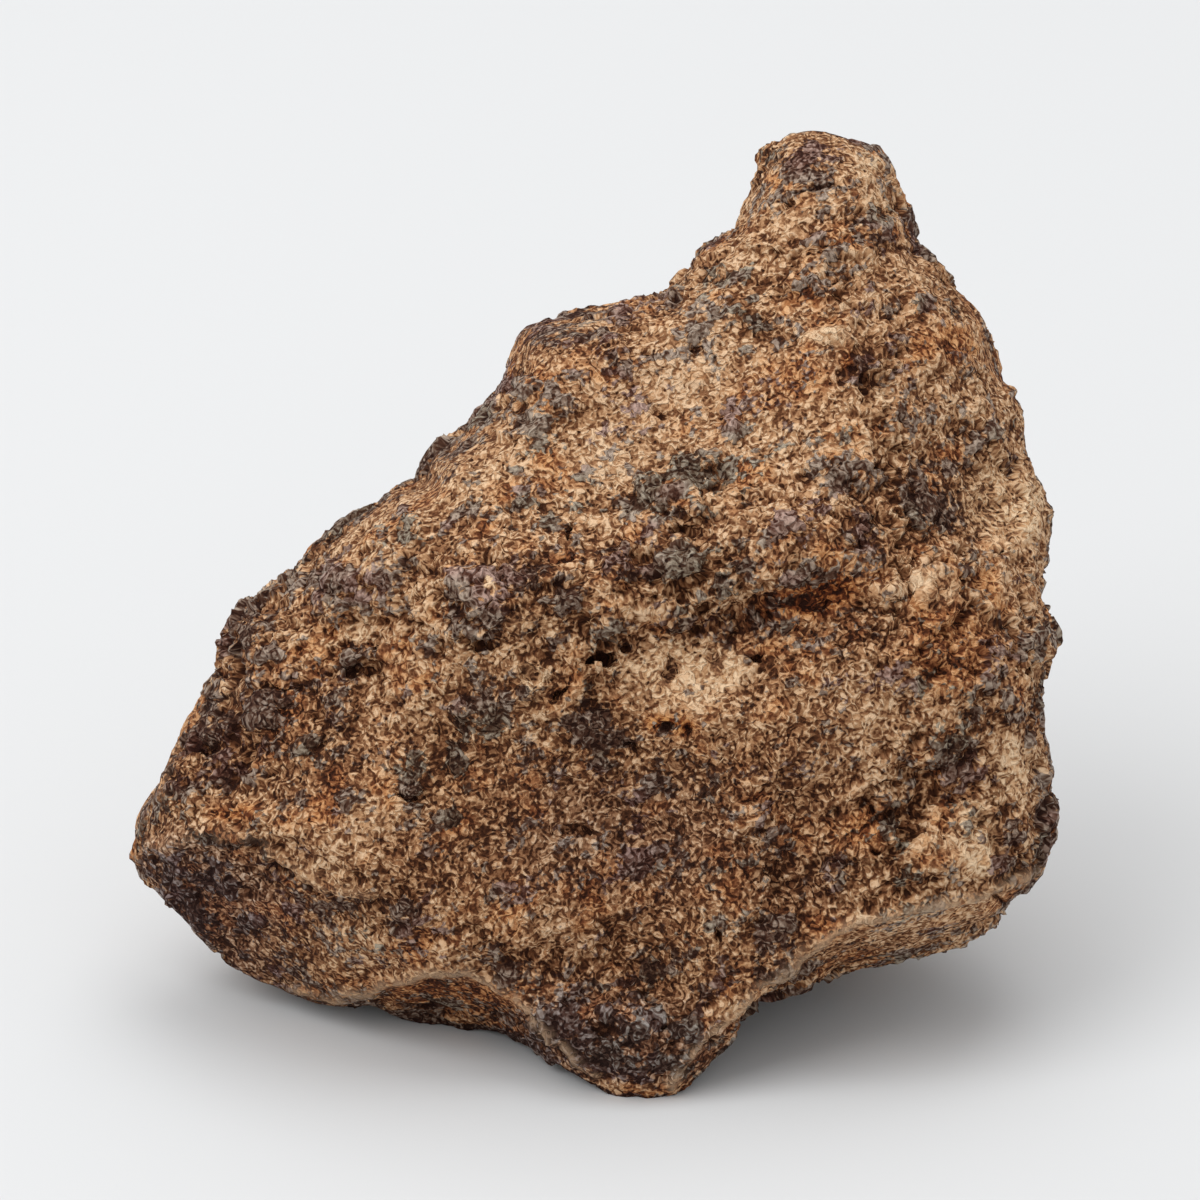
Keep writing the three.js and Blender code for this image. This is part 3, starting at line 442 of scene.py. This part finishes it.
class Web:
    """Adds and joins nodes in the skin's relief or in its finish. Sizes are in millimetres."""

    def __init__(self, tree):
        self.tree = tree

    def put(self, value, socket):
        if isinstance(value, (int, float)):
            socket.default_value = value
        else:
            self.tree.links.new(value, socket)

    def math(self, operation, a, b=0.0, c=0.0):
        node = self.tree.nodes.new("ShaderNodeMath")
        node.operation = operation
        for value, socket in zip((a, b, c), node.inputs):
            self.put(value, socket)
        return node.outputs[0]

    def step(self, value, low, high, out_low=0.0, out_high=1.0):
        node = self.tree.nodes.new("ShaderNodeMapRange")
        node.interpolation_type = "SMOOTHSTEP"
        for number, socket in zip((value, low, high, out_low, out_high), node.inputs):
            self.put(number, socket)
        return node.outputs[0]

    def noise(self, place, size, detail=2.0, roughness=0.5, distortion=0.0):
        """Smooth noise, 0 to 1, whose lumps are about `size` across."""
        node = self.tree.nodes.new("ShaderNodeTexNoise")
        self.tree.links.new(place, node.inputs["Vector"])
        node.inputs["Scale"].default_value = 1 / size
        node.inputs["Detail"].default_value = detail
        node.inputs["Roughness"].default_value = roughness
        node.inputs["Distortion"].default_value = distortion
        return node.outputs[0]

    def cells(self, place, size):
        node = self.tree.nodes.new("ShaderNodeTexVoronoi")
        self.tree.links.new(place, node.inputs["Vector"])
        node.inputs["Scale"].default_value = 1 / size
        return node.outputs[0]

    def add_share(self, total, value, share):
        """A total with a share of how far a noise lies above or below its middle."""
        return self.math("MULTIPLY_ADD", self.math("ADD", value, -0.5), share, total)

    def crag_noise(self, place):
        return self.noise(place, 1.6, 3.0, 0.55)

    def knob_noise(self, place):
        return self.noise(place, 0.6, 2.0, 0.6)

    def crust_field(self, strata, place, placed):
        """Above 0 where the crust stands, from lumps of three sizes and the placed patches."""
        field = self.math("MULTIPLY_ADD", placed, 0.20, -0.064)
        for value, share in (
            (self.noise(strata, 2.0, 3.0, 0.6), 0.667),
            (self.knob_noise(strata), 0.55),
            (self.noise(place, 0.22, 1.0, 0.5, 0.4), 0.278),
        ):
            field = self.add_share(field, value, share)
        return field


# The skin's own relief: crags and knobs with worn tops, broken steps, pits, and crust proud of dust.
# The shares are heights in millimetres, less where the stone is calm or its edges are rubbed.
skin = bpy.data.node_groups.new("skin relief", "GeometryNodeTree")
skin.interface.new_socket("Geometry", in_out="INPUT", socket_type="NodeSocketGeometry")
skin.interface.new_socket("Geometry", in_out="OUTPUT", socket_type="NodeSocketGeometry")
web = Web(skin)


def stored(name, kind="FLOAT"):
    node = skin.nodes.new("GeometryNodeInputNamedAttribute")
    node.data_type = kind
    node.inputs["Name"].default_value = name
    return node.outputs["Attribute"]


place = stored("laid", "FLOAT_VECTOR")
strata = stored("strata", "FLOAT_VECTOR")
crags = web.math("ADD", web.math("MINIMUM", web.crag_noise(strata), 0.56), -0.5)
knobs = web.math("ADD", web.math("MINIMUM", web.knob_noise(place), 0.57), -0.5)
terraces = web.step(web.noise(strata, 2.6, 4.0, 0.6), 0.48, 0.51)
holes = web.step(web.noise(place, 0.95, 2.0, 0.5), 0.365, 0.31)
crust_top = web.step(web.crust_field(strata, place, stored("crust")), -0.02, 0.05)
height = web.math("MULTIPLY", crags, 1.3)
for part, share in ((knobs, 0.45), (terraces, 0.28), (holes, -0.12), (crust_top, 0.10)):
    height = web.math("MULTIPLY_ADD", part, share, height)
height = web.math("ADD", height, -0.18)
roughness_left = web.math("MULTIPLY_ADD", stored("rugged"), 1.0, 0.15)
for part, share in ((stored("calm"), -0.6), (stored("edge"), -0.45)):
    roughness_left = web.math("MULTIPLY", roughness_left, web.math("MULTIPLY_ADD", part, share, 1.0))
height = web.math("MULTIPLY", web.math("MULTIPLY", height, roughness_left), MM)
normal = skin.nodes.new("GeometryNodeInputNormal")
push = skin.nodes.new("ShaderNodeVectorMath")
push.operation = "SCALE"
mover = skin.nodes.new("GeometryNodeSetPosition")
way_in = skin.nodes.new("NodeGroupInput")
way_out = skin.nodes.new("NodeGroupOutput")
skin.links.new(normal.outputs[0], push.inputs[0])
skin.links.new(height, push.inputs["Scale"])
skin.links.new(push.outputs[0], mover.inputs["Offset"])
skin.links.new(way_in.outputs[0], mover.inputs["Geometry"])
skin.links.new(mover.outputs[0], way_out.inputs[0])
grown = stone.modifiers.new("skin", "NODES")
grown.node_group = skin
bpy.ops.object.modifier_apply(modifier="skin")

# How deep each point lies in the finished skin. The finish turns it into painted shade in the hollows and
# painted light on the tops.
SUNK_ROUNDS, SUNK_BLUR_ROUNDS = 10, 2
mesh = stone.data
places = points_of(mesh)
sunk = ((averaged(places, SUNK_ROUNDS) - places) * normals_of(mesh)).sum(axis=1) / MM
keep_value("sunk", averaged(sunk[:, None], SUNK_BLUR_ROUNDS)[:, 0])

# The mesh is thinned to what a part may have, and what would reach below the table is worn flat.
triangles = sum(len(p.vertices) - 2 for p in mesh.polygons)
thinned = stone.modifiers.new("thinned", "DECIMATE")
thinned.ratio = min(1, MOST_TRIANGLES / triangles)
thinned.use_collapse_triangulate = True
bpy.ops.object.modifier_apply(modifier="thinned")
places = points_of(stone.data)
places[:, 2] = np.maximum(places[:, 2], 0)
stone.data.vertices.foreach_set("co", places.astype(np.float32).ravel())
stone.data.update()
bpy.ops.object.shade_smooth()

# Its finish: dark crust with a dull gloss, over wormy tan dust with black pores and rust stains.
# Each run of colours goes from the deepest gaps to the highest grains, in sRGB of 0 to 255.
DUST = (
    (0.0, (46, 21, 9)), (0.25, (101, 61, 36)), (0.5, (149, 106, 73)), (0.75, (189, 146, 107)),
    (1.0, (223, 188, 152)),
)
RUSTY_DUST = ((0.0, (38, 15, 7)), (0.3, (104, 50, 24)), (0.6, (162, 97, 50)), (1.0, (214, 152, 92)))
PALE_DUST = ((0.0, (60, 34, 21)), (0.25, (142, 100, 70)), (0.5, (198, 154, 112)), (1.0, (236, 206, 170)))
CRUST = (
    (0.0, (38, 17, 9)), (0.25, (74, 47, 34)), (0.5, (105, 82, 67)), (0.75, (136, 114, 97)),
    (1.0, (172, 152, 134)),
)
COLD_TINT = (0.90, 0.98, 0.94)
PURPLE_TINT = (1.06, 0.89, 0.94)
# A cool bluish tint for the parts painted darkest: partly the crust's own purple-grey, partly a painted
# reflection of the sky.
COOL_CRUST_AND_REFLECTION_TINT = (0.94, 1.08, 1.42)
LIP_COLOUR = (0.44, 0.29, 0.18)

weathered = bpy.data.materials.new("weathered chondrite")
weathered.use_nodes = True
tree = weathered.node_tree
shader = tree.nodes["Principled BSDF"]
web = Web(tree)


def kept(name, output="Fac"):
    node = tree.nodes.new("ShaderNodeAttribute")
    node.attribute_name = name
    return node.outputs[output]


def mix(part, first_colour, second_colour, way="MIX"):
    node = tree.nodes.new("ShaderNodeMix")
    node.data_type = "RGBA"
    node.blend_type = way
    web.put(part, node.inputs[0])
    for colour, socket in ((first_colour, node.inputs[6]), (second_colour, node.inputs[7])):
        if isinstance(colour, tuple):
            socket.default_value = (*colour, 1)
        else:
            tree.links.new(colour, socket)
    return node.outputs[2]


def tinted(part, colour, tint):
    return mix(part, colour, mix(1.0, colour, tint, "MULTIPLY"))


def ramp(value, stops):
    """A run of colours along a value, each stop given as a place and an sRGB colour."""
    node = tree.nodes.new("ShaderNodeValToRGB")
    web.put(value, node.inputs[0])
    while len(node.color_ramp.elements) < len(stops):
        node.color_ramp.elements.new(0.5)
    for element, (at, colour) in zip(node.color_ramp.elements, stops):
        element.position = at
        element.color = (*((((c / 255) + 0.055) / 1.055) ** 2.4 for c in colour), 1)
    return node.outputs[0]


def worms(size, turns, start):
    """Thin winding threads, -1 to 1, that follow the level lines of a noise."""
    level = web.noise(place, size, 0.8, 0.5, 0.5)
    wave = web.math("SINE", web.math("MULTIPLY_ADD", level, turns, start))
    return web.step(wave, -0.75, 0.65, -1.0, 1.0)


place = kept("laid", "Vector")
strata = kept("strata", "Vector")
crust_part = web.step(web.crust_field(strata, place, kept("crust")), -0.01, 0.035)

# One fine winding weave covers dust and crust alike, as threads with gaps between them.
weave = web.math("MULTIPLY", worms(0.56, 25.0, 0.0), 0.165)
weave = web.math("MULTIPLY_ADD", worms(0.36, 17.0, 2.0), 0.19, weave)
weave = web.add_share(weave, web.noise(place, 0.15, 1.0, 0.5, 0.4), 0.65)
weave = web.add_share(weave, web.noise(place, 0.085, 0.0), 0.2)

# Lumps are painted lighter on top and darker between them, as painted light and painted shade, more so
# where the stone is rugged.
lumps_and_painted_shade = 0.0
for value, share in (
    (web.knob_noise(place), 0.3),
    (web.noise(strata, 1.1, 3.0, 0.6), 0.40),
    (web.crag_noise(strata), 0.35),
):
    lumps_and_painted_shade = web.add_share(lumps_and_painted_shade, value, share)
lumps_and_painted_shade = web.math("MULTIPLY", lumps_and_painted_shade, web.math("MULTIPLY_ADD", kept("rugged"), 0.7, 0.5))
lumps_and_painted_shade = web.add_share(lumps_and_painted_shade, web.noise(strata, 3.6, 3.0, 0.6), 0.9)
# Broad parts are painted lighter or darker: partly more or less dust, partly painted light on the upper
# face and painted shade on the lower face and feet.
lumps_and_painted_shade = web.math("MULTIPLY_ADD", kept("dust_and_painted_light"), 0.25, lumps_and_painted_shade)
# Painted shade darkens the hollows of the finished skin, and painted light lifts its tops.
lumps_and_painted_shade = web.math("ADD", lumps_and_painted_shade, web.step(kept("sunk"), -0.05, 0.09, 0.10, -0.28))
lumps_and_painted_shade = web.math("MULTIPLY_ADD", kept("crust"), -0.15, lumps_and_painted_shade)
lumps_and_painted_shade = web.math("MAXIMUM", lumps_and_painted_shade, web.math("MULTIPLY_ADD", lumps_and_painted_shade, 0.70, -0.03))
grain = web.math("ADD", weave, lumps_and_painted_shade)
grain = web.math("MULTIPLY_ADD", web.step(web.cells(place, 0.40), 0.22, 0.10), -0.4, grain)
# Painted shade darkens the placed pits.
grain = web.math("MULTIPLY_ADD", kept("pit_painted_shade"), -0.6, grain)
dust_grain = web.step(web.math("ADD", grain, 0.57), -0.15, 1.15)
crust_grain = web.step(web.math("ADD", grain, 0.52), -0.15, 1.15)

# Crust turns cold or purple in parts, dust turns rusty or pale, and a light tan line runs along the raised
# lip.
crust_colour = ramp(crust_grain, CRUST)
crust_colour = tinted(web.step(web.noise(place, 4.3, 2.0, 0.5), 0.50, 0.62), crust_colour, COLD_TINT)
crust_colour = tinted(web.step(web.noise(place, 3.1, 2.0, 0.5), 0.52, 0.62), crust_colour, PURPLE_TINT)
rusty = web.step(web.noise(strata, 2.6, 3.0, 0.65), 0.52, 0.66, 0.0, 0.65)
rusty = web.math("MAXIMUM", rusty, kept("rust"))
dust_colour = mix(rusty, ramp(dust_grain, DUST), ramp(dust_grain, RUSTY_DUST))
dust_colour = mix(kept("pale"), dust_colour, ramp(dust_grain, PALE_DUST))
skin_colour = mix(crust_part, dust_colour, crust_colour)
# The darkest broad parts turn cool: partly the crust's purple-grey, partly a painted reflection of the sky.
skin_colour = tinted(web.step(kept("dust_and_painted_light"), -0.35, -1.0, 0.0, 0.8), skin_colour, COOL_CRUST_AND_REFLECTION_TINT)
lip = web.math("MULTIPLY", kept("light_edge_line"), web.step(web.noise(place, 0.7, 2.0), 0.34, 0.50, 0.1, 0.8))
skin_colour = mix(lip, skin_colour, LIP_COLOUR)
tree.links.new(skin_colour, shader.inputs["Base Color"])

shader.inputs["Specular IOR Level"].default_value = 0.12
shader.inputs["Roughness"].default_value = 0.85
shader.inputs["Coat Roughness"].default_value = 0.38
gloss = web.math("MULTIPLY", crust_part, web.step(crust_grain, 0.30, 0.75, 0.0, 0.5))
tree.links.new(gloss, shader.inputs["Coat Weight"])
bump = tree.nodes.new("ShaderNodeBump")
bump.inputs["Strength"].default_value = 1.0
bump.inputs["Distance"].default_value = 0.14 * MM
tree.links.new(web.math("MULTIPLY_ADD", crust_part, 0.3, grain), bump.inputs["Height"])
tree.links.new(bump.outputs[0], shader.inputs["Normal"])
stone.data.materials.clear()
stone.data.materials.append(weathered)

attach(stone, "root")
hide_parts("stone")

# ---- Table, light and camera -----------------------------------------------------------------
# A sheet of white card under the stone, a broad soft light from the upper left and one from above,
# and a bright plain room. The camera looks straight at the broad face.

CARD_WIDTH = 6
CARD_COLOUR = (0.672, 0.681, 0.689)
ROOM_LIGHT = 0.72

bpy.ops.mesh.primitive_plane_add(size=CARD_WIDTH, location=(0, 0, 0))
floor = bpy.context.object
floor.name = "white_card"
card = bpy.data.materials.new("white card")
card.use_nodes = True
card_shader = card.node_tree.nodes["Principled BSDF"]
card_shader.inputs["Base Color"].default_value = (*CARD_COLOUR, 1)
card_shader.inputs["Roughness"].default_value = 0.9
floor.data.materials.append(card)

room = bpy.data.worlds.new("room")
scene.world = room
room.use_nodes = True
room.node_tree.nodes["Background"].inputs["Color"].default_value = (1, 1, 1, 1)
room.node_tree.nodes["Background"].inputs["Strength"].default_value = ROOM_LIGHT
scene.view_settings.view_transform = "Standard"


def soft_box(name, place, width, power):
    """A square lamp that faces the stone."""
    lamp = bpy.data.lights.new(name, "AREA")
    lamp.shape = "RECTANGLE"
    lamp.size = lamp.size_y = width
    lamp.energy = power
    holder = bpy.data.objects.new(name, lamp)
    scene.collection.objects.link(holder)
    holder.location = place
    holder.rotation_euler = (-Vector(place)).to_track_quat("-Z", "Y").to_euler()


soft_box("left soft box", (-0.25, -0.14, 0.39), width=0.35, power=0.88)
soft_box("overhead soft box", (0.03, 0.12, 0.5), width=0.4, power=1.0)

# The view takes in VIEW_WIDTH at VIEW_DISTANCE. Its middle is across, up and behind the face's.
VIEW_DISTANCE = 0.42
VIEW_WIDTH = 0.05217
FILM_WIDTH = 36
AIM_ACROSS, AIM_UP, AIM_BEHIND = -2.174, 1.739, 1.0
toward_view = Vector((0, -math.cos(LEAN), math.sin(LEAN)))
view_up = Vector((0, math.sin(LEAN), math.cos(LEAN)))
aim_shift = Vector((AIM_ACROSS, 0, 0)) + AIM_UP * view_up - AIM_BEHIND * toward_view
aim = Vector(FACE_MIDDLE) + MM * aim_shift
lens = bpy.data.cameras.new("camera")
lens.sensor_width = FILM_WIDTH
lens.lens = FILM_WIDTH * VIEW_DISTANCE / VIEW_WIDTH
lens.clip_start = 0.01
lens.clip_end = 20
camera = bpy.data.objects.new("camera", lens)
camera.location = aim + toward_view * VIEW_DISTANCE
camera.rotation_euler = (-toward_view).to_track_quat("-Z", "Y").to_euler()
scene.collection.objects.link(camera)
scene.camera = camera
